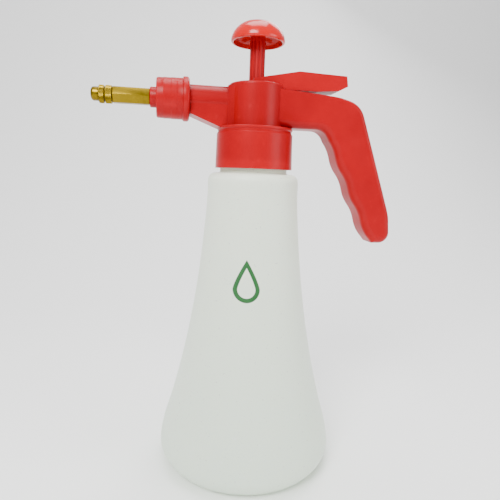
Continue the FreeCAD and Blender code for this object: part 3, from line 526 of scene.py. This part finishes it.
def printed_drop(tree, split):
    """A mask for a plain drop printed on the bottle's front: a ball that narrows upward."""
    across = maths(tree, "ABSOLUTE", maths(tree, "ADD", split.outputs["X"], DROP_ASIDE))
    above_ball = maths(tree, "SUBTRACT", split.outputs["Z"], DROP_HEIGHT)
    below = maths(tree, "MINIMUM", above_ball, 0.0)
    over = maths(tree, "MAXIMUM", above_ball, 0.0)
    rise = maths(tree, "DIVIDE", over, DROP_POINT, clamp=True)
    reach = maths(tree, "SQRT", maths(tree, "ADD", maths(tree, "POWER", across, 2.0),
                                      maths(tree, "POWER", below, 2.0)))
    narrowing = maths(tree, "SUBTRACT", 1.0, maths(tree, "POWER", rise, 1.3))
    edge = maths(tree, "SUBTRACT", maths(tree, "MULTIPLY", narrowing, DROP_RADIUS), reach)
    inside = ramp(tree, edge, 0.0, PRINT_SOFTNESS)
    hollow = ramp(tree, edge, PRINTED_LINE, PRINTED_LINE - PRINT_SOFTNESS)
    front = ramp(tree, split.outputs["Y"], 0.0, -0.001)
    return maths(tree, "MULTIPLY", maths(tree, "MULTIPLY", inside, hollow), front)


# %% Milky plastic
# The foot and neck tones paint shade: darker toward the foot, lighter toward the neck.
SHADED_FOOT_TONE, LIT_NECK_TONE, CLOUD_TONE = (0.70, 0.86, 0.64), (0.92, 1.0, 0.74), (0.80, 0.90, 0.66)
SPECK_TONE, SCRATCH_TONE, PRINT_GREEN = (0.30, 0.31, 0.27), (0.93, 0.93, 0.90), (0.012, 0.10, 0.02)


def milky_plastic():
    """Blow-moulded polyethylene with painted shade darker toward the foot, clouds, specks, a mould
    seam and the printed drop.
    """
    material, tree, shader = start_material(
        "milky_plastic", IOR=1.54, Subsurface_Weight=0.55, Subsurface_Scale=0.012,
        Subsurface_Radius=(1.0, 0.95, 0.8), Specular_IOR_Level=0.32)
    skin = place_group(tree, SKIN, Grain_Size=0.7, Grain_Height=0.5, Wave_Height=1.0)
    marks = place_group(tree, MARKS, Amount=0.5)
    place = add(tree, "TexCoord").outputs["Object"]
    split = add(tree, "SeparateXYZ")
    tree.links.new(place, split.inputs[0])
    # Painted shade: the colour runs from a darker shaded tone at the foot to a lighter lit tone at
    # the neck.
    height = ramp(tree, split.outputs["Z"], 0.0, NECK_TOP)
    base = mix(tree, height, SHADED_FOOT_TONE, LIT_NECK_TONE)
    base = mix(tree, maths(tree, "MULTIPLY", skin["Cloud"], 0.25), base, CLOUD_TONE)
    base = mix(tree, maths(tree, "MULTIPLY", skin["Fleck"], 0.35), base, SPECK_TONE)
    base = mix(tree, maths(tree, "MULTIPLY", marks["Scratch"], 0.3), base, SCRATCH_TONE)
    base = mix(tree, printed_drop(tree, split), base, PRINT_GREEN)
    tree.links.new(base, shader.inputs["Base Color"])
    shine = maths(tree, "MULTIPLY", marks["Smudge"], 0.12)
    tree.links.new(maths(tree, "ADD", shine, 0.40), shader.inputs["Roughness"])
    aside = maths(tree, "ABSOLUTE", split.outputs["Y"])
    seam = maths(tree, "MULTIPLY", ramp(tree, aside, 0.0005, 0.0002), 1.5)
    bump(tree, shader, maths(tree, "ADD", skin["Height"], seam), 0.00010)
    return material


MILKY = milky_plastic()
print("bottle:", MILKY.name)

# %% [markdown]
# ### Brass and steel
#
# Turned brass shows fine rings from the lathe tool and dulls to brown where
# fingers and water reach. The rings are a wave along the spout's axis, and the
# tarnish is a cloud that darkens the colour and roughens the shine.

# %% Metals
def turned_metal(name, bright, dull, brown, roughness, ring_scale):
    """Metal from a lathe: fine rings, clouds of tarnish and brighter edges."""
    material, tree, shader = start_material(name, Metallic=1.0)
    skin = place_group(tree, SKIN, Grain_Size=1.0, Grain_Height=0.2, Wave_Height=0.1)
    edges = place_group(tree, EDGES, Width=0.05, Breakup=0.4)
    marks = place_group(tree, MARKS, Amount=0.9)
    place = add(tree, "TexCoord").outputs["Object"]
    stretch = add(tree, "Mapping")
    stretch.inputs["Scale"].default_value = (ring_scale, 0.02 * ring_scale, 0.02 * ring_scale)
    tree.links.new(place, stretch.inputs["Vector"])
    rings = noise(tree, stretch.outputs[0], 1.0, 3.0, 0.6)
    base = mix(tree, skin["Cloud"], bright, dull)
    base = mix(tree, maths(tree, "MULTIPLY", edges["Hollow"], 0.8), base, brown)
    base = mix(tree, maths(tree, "MULTIPLY", marks["Smudge"], 0.45), base, brown)
    base = mix(tree, maths(tree, "MULTIPLY", edges["Edge"], 0.6), base, bright)
    tree.links.new(base, shader.inputs["Base Color"])
    shine = maths(tree, "MULTIPLY", rings, 0.16)
    shine = maths(tree, "ADD", shine, maths(tree, "MULTIPLY", marks["Smudge"], 0.15))
    tree.links.new(maths(tree, "ADD", shine, roughness), shader.inputs["Roughness"])
    bump(tree, shader, maths(tree, "ADD", rings, skin["Height"]), 0.00002)
    return material


BRASS = turned_metal(
    "brass", bright=(0.24, 0.16, 0.008), dull=(0.12, 0.075, 0.004), brown=(0.04, 0.025, 0.003),
    roughness=0.22, ring_scale=3000.0)
STEEL = turned_metal(
    "steel", bright=(0.62, 0.62, 0.63), dull=(0.50, 0.50, 0.51), brown=(0.25, 0.24, 0.23),
    roughness=0.22, ring_scale=2500.0)

MATERIAL_OF_SLOT = {
    "milky_plastic": MILKY, "red_plastic": RED, "red_gloss_plastic": RED_GLOSS,
    "white_plastic": WHITE, "clear_tube_plastic": TUBING, "black_rubber": RUBBER,
    "brass": BRASS, "steel": STEEL,
}
print("finishes:", sorted(MATERIAL_OF_SLOT))

# %% [markdown]
# ## The bottle
#
# The CAD bottle has the true walls and the inner space. The piece shown here is
# pulled up over the same outline: a rounded foot, a long concave waist, a soft
# shoulder and a neck with a helical thread. Its wall is closed at the mouth,
# so it reads as a vessel when the head is unscrewed.

# %% Smooth lines through a few points
def through(points, steps=6):
    """Stations on a smooth line that passes through each given (radius, height), in mm."""
    found = []
    for index in range(len(points) - 1):
        before = Vector(points[max(index - 1, 0)])
        start, end = Vector(points[index]), Vector(points[index + 1])
        after = Vector(points[min(index + 2, len(points) - 1)])
        for step in range(steps):
            share = step / steps
            bend = (end - before) * share + (2 * before - 5 * start + 4 * end - after) * share ** 2
            bend += (3 * start - before - 3 * end + after) * share ** 3
            found.append(start + bend / 2)
    found.append(Vector(points[-1]))
    return found


def metres(stations):
    """Stations in mm, as stations in metres."""
    return [(radius * MM, height * MM) for radius, height in stations]


# %% Pull up the bottle
WALL, INNER_FLOOR = 1.6, 4.6
SHOULDER_CENTRE, SHOULDER_CURVE = (24.2, 190.0), 5.0
NECK_RADIUS, MOUTH_RADIUS = 21.5, 19.6
MOUTH = round(NECK_TOP / MM, 2)
side = [(53.4, 3.6), (56.6, 8.0), (58.0, 15.0), (55.4, 29.0), (50.6, 45.0), (43.7, 73.0),
        (38.0, 102.5), (33.7, 132.0), (30.6, 162.0), (29.3, 180.0), (29.2, 189.0)]
foot = [(2, 3.0), (22, 3.0), (23.4, 2.6), (26.4, 0.5), (28, 0.0), (32, 0.0)]
foot += [(37, 0.15), (42, 0.55), (48, 1.5)]
outside = foot + [tuple(spot) for spot in through(side)]
shoulder = arc(SHOULDER_CENTRE, SHOULDER_CURVE, 10, 90, 7)
neck = [(22.3, 195.0), (21.7, 195.3), (NECK_RADIUS, 195.9), (NECK_RADIUS, MOUTH - 0.4),
        (NECK_RADIUS - 0.4, MOUTH)]
mouth = [(MOUTH_RADIUS + 0.4, MOUTH), (MOUTH_RADIUS, MOUTH - 0.4), (MOUTH_RADIUS, 193.6)]
inside_shoulder = arc(SHOULDER_CENTRE, SHOULDER_CURVE - WALL, 90, 0, 6)
inner_side = [(radius - WALL, height) for radius, height in outside[8:-1]][::-1]
inner_side = [(radius, max(height, INNER_FLOOR)) for radius, height in inner_side if radius > 24]
inside = inner_side[:-3] + [(44, 4.9), (30, INNER_FLOOR), (2, INNER_FLOOR)]
bottle = turned("bottle_body", metres(outside + shoulder + neck + mouth
                                      + inside_shoulder + inside), 160)
smooth(bottle, 40)
finish_piece(bottle, "bottle", MILKY, "bottle")

# %% [markdown]
# ### The neck's thread
#
# A thread is a small wedge carried round and up. The wedge is drawn once beside
# the neck, and a Screw modifier sweeps it through two turns.

# %% Sweep the thread
PITCH, THREAD_TURNS, THREAD_START = 5.0, 2, 202.5
thread = coiled("bottle_thread", sides=4, radius=1.0 * MM, stretch=(0.85, 1, 1.25),
                start=(NECK_RADIUS * MM, 0, THREAD_START * MM), turns=THREAD_TURNS,
                rise=PITCH * THREAD_TURNS * MM, steps=96 * THREAD_TURNS)
finish_piece(thread, "bottle", MILKY)

# %% [markdown]
# ## The knob
#
# The knob is a hollow cap: a flattened dome outside, a thin wall, and a socket
# under it that grips the rod. It is glossier than the rest and lets some light
# through at its rim.

# %% Turn the knob
RIM = low("pump_knob").z / MM
dome = through([(16.2, 0.05), (16.75, 0.7), (16.7, 2.2), (16.1, 4.2), (14.8, 6.6), (12.7, 8.9),
                (10.0, 10.8), (6.8, 11.9), (3.4, 12.35), (0.8, 12.45)][::-1])
hollow = through([(15.3, 0.1), (15.2, 2.2), (14.5, 4.2), (13.2, 6.3), (11.2, 8.2),
                  (8.9, 9.6), (7.4, 9.9)])
socket = [(7.1, 9.6), (7.0, 4.6), (6.7, 4.3), (5.2, 4.3), (4.85, 4.6), (4.85, 8.95), (1.0, 8.95)]
rim = [(15.9, -0.05), (15.6, -0.05)]
cap = [(radius * MM, (RIM + height) * MM) for radius, height in
       [tuple(spot) for spot in dome] + rim + [tuple(spot) for spot in hollow] + socket]
knob = turned("knob_cap", cap, 128)
smooth(knob, 40)
finish_piece(knob, "pump", RED_GLOSS, "pump_knob")

# %% [markdown]
# ## The coupling nut
#
# Pieces on the spout are turned upright, with height standing for the distance
# from the pump's axis. Then they are laid over. The nut has a flange at its
# back, faint steps where the mould's halves meet, and softened corners.

# %% Turn and lay the nut
NUT_BACK, NUT_FRONT = -high("nozzle_nut").x / MM, -low("nozzle_nut").x / MM
NUT_BORE, NUT_BODY, NUT_FLANGE, NUT_FACE = 9.95, 12.3, 13.3, 3.0
flange = [(NUT_BORE, NUT_BACK), (12.0, NUT_BACK), (12.6, NUT_BACK + 0.25),
          (13.15, NUT_BACK + 0.8), (NUT_FLANGE, NUT_BACK + 1.3), (NUT_FLANGE, NUT_BACK + 3.3),
          (13.1, NUT_BACK + 3.7), (12.45, NUT_BACK + 4.05)]
body = [(NUT_BODY, NUT_BACK + 4.5), (NUT_BODY, NUT_BACK + 7.4), (12.2, NUT_BACK + 7.55),
        (NUT_BODY, NUT_BACK + 7.7), (NUT_BODY, NUT_BACK + 10.9), (12.15, NUT_BACK + 11.1),
        (12.15, NUT_BACK + 15.6), (12.0, NUT_BACK + 15.85)]
face = [(11.95, NUT_FRONT - 1.2), (11.8, NUT_FRONT - 0.5), (11.2, NUT_FRONT), (6.8, NUT_FRONT),
        (6.5, NUT_FRONT - 0.3), (6.45, NUT_FRONT - NUT_FACE), (NUT_BORE, NUT_FRONT - NUT_FACE),
        (NUT_BORE, NUT_BACK)]
nut = turned("coupling_nut", metres(flange + body + face), 128)
lay_on_spout(nut)
smooth(nut, 30)
finish_piece(nut, "nut", RED, "nozzle_nut")

# %% [markdown]
# ## Brass work
#
# The tube is a hexagon bar with its ends turned down to a chamfer, then a round
# spigot with a fine thread. The lock ring and the tip are knurled: every second
# edge round the rim is pressed in a little.

# %% Knurls and laid pieces
def knurled(obj, first, last, radius, depth, sides):
    """Presses in every second edge of the rim between two heights. Lengths in mm."""
    edit(obj)
    slice_angle = 2 * math.pi / sides

    def pressed(vertex):
        """True for every second edge of the rim in the band."""
        turn = math.atan2(vertex.co.y, vertex.co.x) / slice_angle
        in_band = first * MM < vertex.co.z < last * MM
        return in_band and vertex.co.xy.length > radius * MM and round(turn) % 2 == 0

    choose(obj, pressed)
    share = 1 - depth / radius
    bpy.ops.transform.resize(value=(share, share, 1), center_override=(0, 0, 0))
    done()


def laid(name, stations, body, material, nodes, sides=96, band=None):
    """Turns a piece, knurls it if a band is given, and lays it on the spout."""
    obj = turned(name, metres(stations), sides)
    if band:
        knurled(obj, *band, sides)
    lay_on_spout(obj)
    smooth(obj, 30)
    finish_piece(obj, body, material, *nodes)


# %% The sleeve
SLEEVE_FRONT = -low("nozzle_sleeve").x / MM
BACK = -high("nozzle_sleeve").x / MM
SLEEVE_BORE, SLEEVE_FLANGE, SLEEVE_BARREL = 1.6, 9.0, 6.1
laid("red_sleeve", [(SLEEVE_BORE, BACK), (SLEEVE_FLANGE, BACK), (SLEEVE_FLANGE, BACK + 1.6),
                    (6.3, BACK + 1.6), (SLEEVE_BARREL, BACK + 1.9),
                    (SLEEVE_BARREL, SLEEVE_FRONT - 0.7), (5.9, SLEEVE_FRONT - 0.2),
                    (5.4, SLEEVE_FRONT), (4.1, SLEEVE_FRONT), (4.0, BACK + 0.85),
                    (SLEEVE_BORE, BACK + 0.8), (SLEEVE_BORE, BACK)],
     "head", RED, ["nozzle_sleeve"])

# %% The spigot and its fine thread
TUBE_BACK, SPIGOT_FRONT = -high("nozzle_tube").x / MM, -low("nozzle_tube").x / MM
HEX_LENGTH = 21.8
HEX_FRONT = SLEEVE_FRONT + HEX_LENGTH
TUBE_BORE, CREST, ROOT, GROOVE = 1.5, 3.4, 3.15, 2.6
FINE_PITCH, FINE_TURNS = 0.6, 6
spigot = [(TUBE_BORE, TUBE_BACK), (3.95, TUBE_BACK), (3.95, HEX_FRONT - 0.1),
          (CREST, HEX_FRONT + 0.1)]
for turn in range(FINE_TURNS):
    place = HEX_FRONT + 0.5 + turn * FINE_PITCH
    spigot += [(CREST, place), (ROOT, place + FINE_PITCH / 2)]
spigot += [(CREST, HEX_FRONT + 4.2), (CREST, SPIGOT_FRONT - 2.6), (GROOVE, SPIGOT_FRONT - 2.5),
           (GROOVE, SPIGOT_FRONT - 1.5), (CREST, SPIGOT_FRONT - 1.4),
           (CREST, SPIGOT_FRONT - 0.4), (3.0, SPIGOT_FRONT), (TUBE_BORE, SPIGOT_FRONT),
           (TUBE_BORE, TUBE_BACK)]
laid("brass_spigot", spigot, "head", BRASS, [], 64)

# %% The hexagon bar
let_go()
ACROSS = 9.3 * MM
bpy.ops.mesh.primitive_cylinder_add(
    vertices=6, radius=ACROSS / 2 / math.cos(math.radians(30)), depth=HEX_LENGTH * MM,
    location=(0, 0, (SLEEVE_FRONT + HEX_FRONT) / 2 * MM))
hex_bar = bpy.context.object
hex_bar.name = "hexagon_bar"
freeze(hex_bar)
apply_modifier(hex_bar, "BEVEL", width=0.35 * MM, segments=3, limit_method="ANGLE",
               angle_limit=math.radians(30))
lay_on_spout(hex_bar)
smooth(hex_bar, 35)
finish_piece(hex_bar, "head", BRASS, "nozzle_tube")

# %% The lock ring
LOCK_BACK, LOCK_FRONT = -high("lock_ring").x / MM, -low("lock_ring").x / MM
THREAD_BORE, KNURL_RIM, KNURL_INSIDE, KNURL_DEPTH = 3.46, 5.32, 5.25, 0.24
laid("knurled_lock", [(THREAD_BORE, LOCK_BACK), (4.7, LOCK_BACK), (5.2, LOCK_BACK + 0.3),
                      (KNURL_RIM, LOCK_BACK + 0.55), (KNURL_RIM, LOCK_FRONT - 0.55),
                      (5.2, LOCK_FRONT - 0.3), (4.7, LOCK_FRONT), (THREAD_BORE, LOCK_FRONT),
                      (THREAD_BORE, LOCK_BACK)],
     "lock", BRASS, ["lock_ring"], 96,
     (LOCK_BACK + 0.4, LOCK_FRONT - 0.4, KNURL_INSIDE, KNURL_DEPTH))

# %% The tip
TIP_BACK, TIP_FRONT = -high("nozzle_tip").x / MM, -low("nozzle_tip").x / MM
SEAT = SPIGOT_FRONT + 2.1
TIP_BARREL, SPRAY_HOLE = 4.1, 0.3
tip = [(THREAD_BORE, TIP_BACK), (4.7, TIP_BACK), (5.2, TIP_BACK + 0.3),
       (KNURL_RIM, TIP_BACK + 0.5), (KNURL_RIM, TIP_BACK + 2.7), (5.2, TIP_BACK + 3.05),
       (4.6, TIP_BACK + 3.4), (4.15, TIP_BACK + 3.5), (TIP_BARREL, TIP_BACK + 3.8),
       (TIP_BARREL, TIP_FRONT - 1.7), (3.9, TIP_FRONT - 1.0), (3.4, TIP_FRONT - 0.5),
       (2.6, TIP_FRONT - 0.1), (2.2, TIP_FRONT), (1.2, TIP_FRONT), (0.9, TIP_FRONT - 0.25),
       (SPRAY_HOLE, TIP_FRONT - 0.3), (SPRAY_HOLE, SEAT + 0.05), (3.4, SEAT),
       (THREAD_BORE, SEAT - 0.1), (THREAD_BORE, TIP_BACK)]
laid("knurled_tip", tip, "tip", BRASS, ["nozzle_tip"], 96,
     (TIP_BACK + 0.35, TIP_BACK + 2.9, KNURL_INSIDE, KNURL_DEPTH))

# %% [markdown]
# ## The valve's spring
#
# A coil is a small circle swept round and up by a Screw modifier.

# %% Coil the spring
WIRE, COIL, TURNS = 0.25 * MM, 2.85 * MM, 4
SPRING_FOOT, RISE = 225.5 * MM, 3.95 * MM
valve_x = (low("valve_spring").x + high("valve_spring").x) / 2
spring = coiled("coil_spring", sides=12, radius=WIRE, stretch=(1, 1, 1), start=(COIL, 0, 0),
                turns=TURNS, rise=RISE, steps=40 * TURNS)
spring.location = (valve_x, 0, SPRING_FOOT + 1.1 * WIRE)
freeze(spring)
finish_piece(spring, "head", STEEL, "valve_spring")
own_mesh(spring)

# %% [markdown]
# ## Nodes shown as they are
#
# The head, the lever, the rod and all the hidden works keep their CAD shape.
# The record says which finish each has, so their materials come from there.

# %% Dress the CAD nodes
for part in frame["record"]["subparts"]:
    node = frame["nodes"][part["node"]]
    node.data.materials.clear()
    node.data.materials.append(MATERIAL_OF_SLOT[part["material_slot"]])
    smooth(node, 32)
let_go()

# %% [markdown]
# ## Camera, floor and light
#
# The camera looks slightly down and from the left, a little rolled. Its three
# axes are built from yaw, pitch and roll, and set as the columns of its matrix.

# %% Camera
YAW, PITCH_DOWN, ROLL = math.radians(10.0), math.radians(9.28), math.radians(2.1)
LENS, SENSOR = 33.12, 36  # in mm
CAMERA_PLACE = (-0.0529, -0.2985, 0.1942)
forward = Vector((math.sin(YAW) * math.cos(PITCH_DOWN), math.cos(YAW) * math.cos(PITCH_DOWN),
                  -math.sin(PITCH_DOWN)))
level = Vector((math.cos(YAW), -math.sin(YAW), 0))
above = level.cross(forward)
right = level * math.cos(ROLL) + above * math.sin(ROLL)
up = above * math.cos(ROLL) - level * math.sin(ROLL)
axes = Matrix((right, up, -forward)).transposed()
bpy.ops.object.camera_add()
camera = bpy.context.object
camera.name = "camera"
camera.data.lens = LENS
camera.data.sensor_width = SENSOR
camera.matrix_world = Matrix.Translation(CAMERA_PLACE) @ axes.to_4x4()
bpy.context.scene.camera = camera
print("camera at", CAMERA_PLACE)

# %% Floor that curves up into a backdrop
FLOOR_SIZE, FLOOR_MIDDLE, BACKDROP_HEIGHT, CURVE = 5, -1.4, 3.0, 0.8
far_edge = FLOOR_SIZE / 2 - 0.1  # on the plane's own Y
let_go()
bpy.ops.mesh.primitive_plane_add(size=FLOOR_SIZE, location=(0, FLOOR_MIDDLE, 0))
floor = bpy.context.object
floor.name = "floor"
edit(floor, "EDGE")
choose(floor, lambda edge: all(vertex.co.y > far_edge for vertex in edge.verts), "edges")
bpy.ops.mesh.extrude_region_move(TRANSFORM_OT_translate={"value": (0, 0, BACKDROP_HEIGHT)})
bpy.ops.mesh.select_all(action="DESELECT")
choose(floor, lambda edge: all(vertex.co.y > far_edge and vertex.co.z < 0.01
                               for vertex in edge.verts), "edges")
bpy.ops.mesh.bevel(offset=CURVE, segments=20)
done()
smooth(floor, 60)
paper, _, paper_shader = start_material("studio_paper", Roughness=0.8)
paper_shader.inputs["Base Color"].default_value = (0.86, 0.86, 0.86, 1)
floor.data.materials.append(paper)

# %% Lights
CENTRE = Vector((0.0, 0.0, 0.14))
SOFTBOXES = {
    "key": ((-0.45, -0.75, 0.85), 0.5, 20.0),
    "fill": ((0.9, -0.6, 0.45), 0.6, 6.0),
    "top": ((0.0, 0.1, 1.1), 0.6, 10.0),
    "back": ((0.5, 0.7, 1.0), 0.6, 6.0),
}
for name, (place, size, power) in SOFTBOXES.items():
    bpy.ops.object.light_add(type="AREA", location=place)
    lamp = bpy.context.object
    lamp.name = name
    lamp.data.size = size
    lamp.data.energy = power
    lamp.rotation_euler = (CENTRE - Vector(place)).to_track_quat("-Z", "Y").to_euler()
    print("light", name, "at", place)

# %% World
WORLD_STRENGTH = 0.7
world = bpy.data.worlds.new("studio")
bpy.context.scene.world = world
world.use_nodes = True
world.node_tree.nodes["Background"].inputs["Color"].default_value = (1, 1, 1, 1)
world.node_tree.nodes["Background"].inputs["Strength"].default_value = WORLD_STRENGTH
